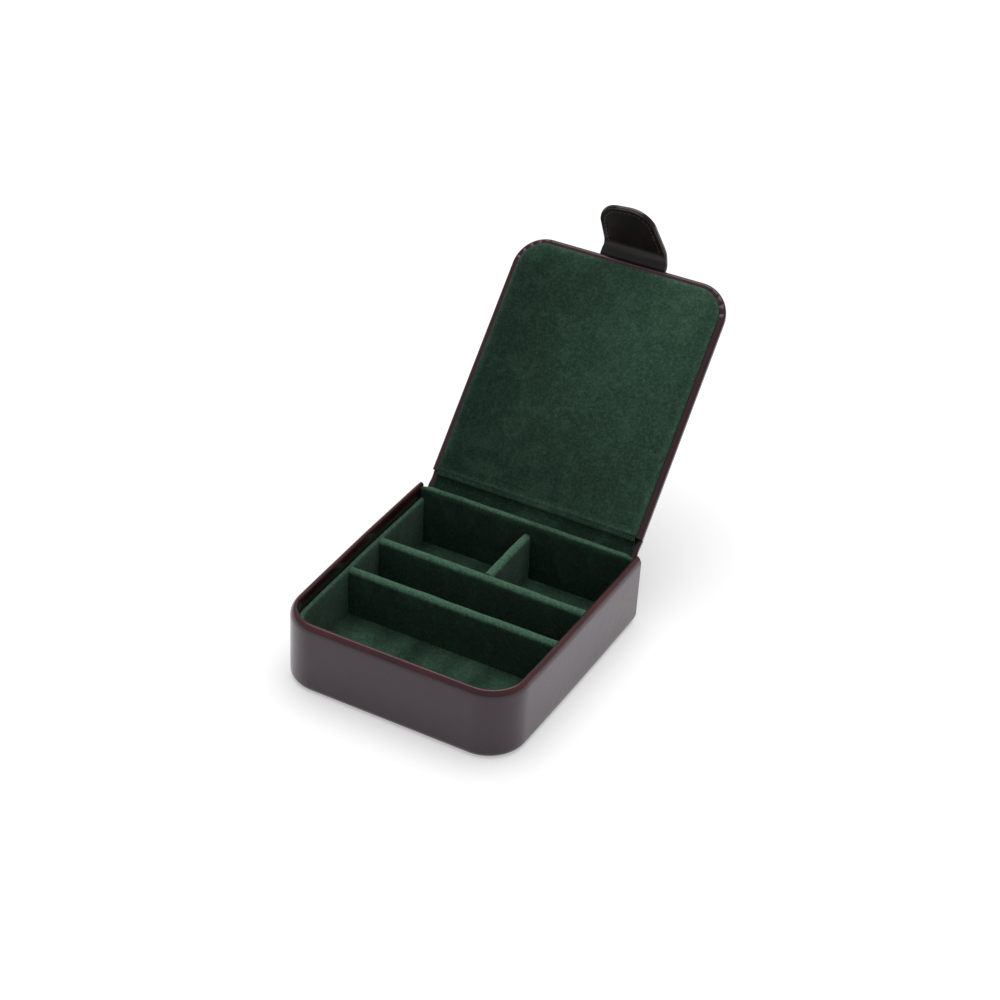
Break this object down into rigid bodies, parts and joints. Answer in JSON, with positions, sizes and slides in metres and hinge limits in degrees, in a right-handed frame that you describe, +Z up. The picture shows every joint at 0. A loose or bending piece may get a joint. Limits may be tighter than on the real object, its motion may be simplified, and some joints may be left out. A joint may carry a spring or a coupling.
{
  "type": "cufflink display box",
  "caption": "Leather-covered display box with a divided suede tray, a padded lid on a folding leather spine, and a curled closing tab with a hidden magnet.",
  "frame": {"origin": "centre of the flat underside, midway between the front face and the hinge side", "axes": "+X to the right seen from the front, +Y from the front to the hinge side, +Z up; the lid is drawn open"},
  "size_m": [0.103, 0.1917, 0.1409],
  "materials": {
    "brown_leather": "smooth grain, satin, with reddish burnished edges",
    "pared_leather": "pared thin, plain",
    "green_suede": "napped suede",
    "grey_board": "grey board, uncoated",
    "white_card": "card, uncoated",
    "pad_foam": "soft open foam",
    "magnet_steel": "plated"
  },
  "bodies": {
    "tray": {"base_board": "grey_board", "wall_board": "grey_board", "rear_wall_board": "grey_board", "wall_leather": "brown_leather", "rear_leather": "brown_leather", "underside_panel": "brown_leather", "floor_card": "white_card", "floor_suede": "green_suede", "wall_lining_card": "white_card", "wall_lining_suede": "green_suede", "rear_lining_suede": "green_suede", "front_divider_core": "white_card", "front_divider_suede": "green_suede", "rear_divider_core": "white_card", "rear_divider_suede": "green_suede", "centre_divider_core": "white_card", "centre_divider_suede": "green_suede", "wall_magnet": "magnet_steel"},
    "spine": {"spine_leather": "brown_leather", "spine_suede": "green_suede"},
    "lid": {"lid_board": "grey_board", "lid_leather": "brown_leather", "lid_infill_card": "white_card", "lid_pad_card": "white_card", "lid_pad_foam": "pad_foam", "lid_pad_suede": "green_suede", "tab_root": "pared_leather"},
    "tab": {"tab_leather": "brown_leather", "tab_lining": "pared_leather", "tab_magnet": "magnet_steel"}
  },
  "joints": [
    {"name": "spine_fold", "type": "hinge", "parent": "tray", "child": "spine", "pos_m": [0, 0.05395, 0.024], "axis": [1, 0, 0], "range_deg": [0, 44]},
    {"name": "lid_fold", "type": "hinge", "parent": "spine", "child": "lid", "pos_m": [0, 0.06173, 0.03206], "axis": [1, 0, 0], "range_deg": [0, 88]},
    {"name": "tab_fold", "type": "hinge", "parent": "lid", "child": "tab", "pos_m": [0.0018, 0.13476, 0.11473], "axis": [1, 0, 0], "range_deg": [-60, 32]}
  ],
  "couplings": [
    {"joint": "spine_fold", "follows": "lid_fold", "ratio": 0.5}
  ]
}
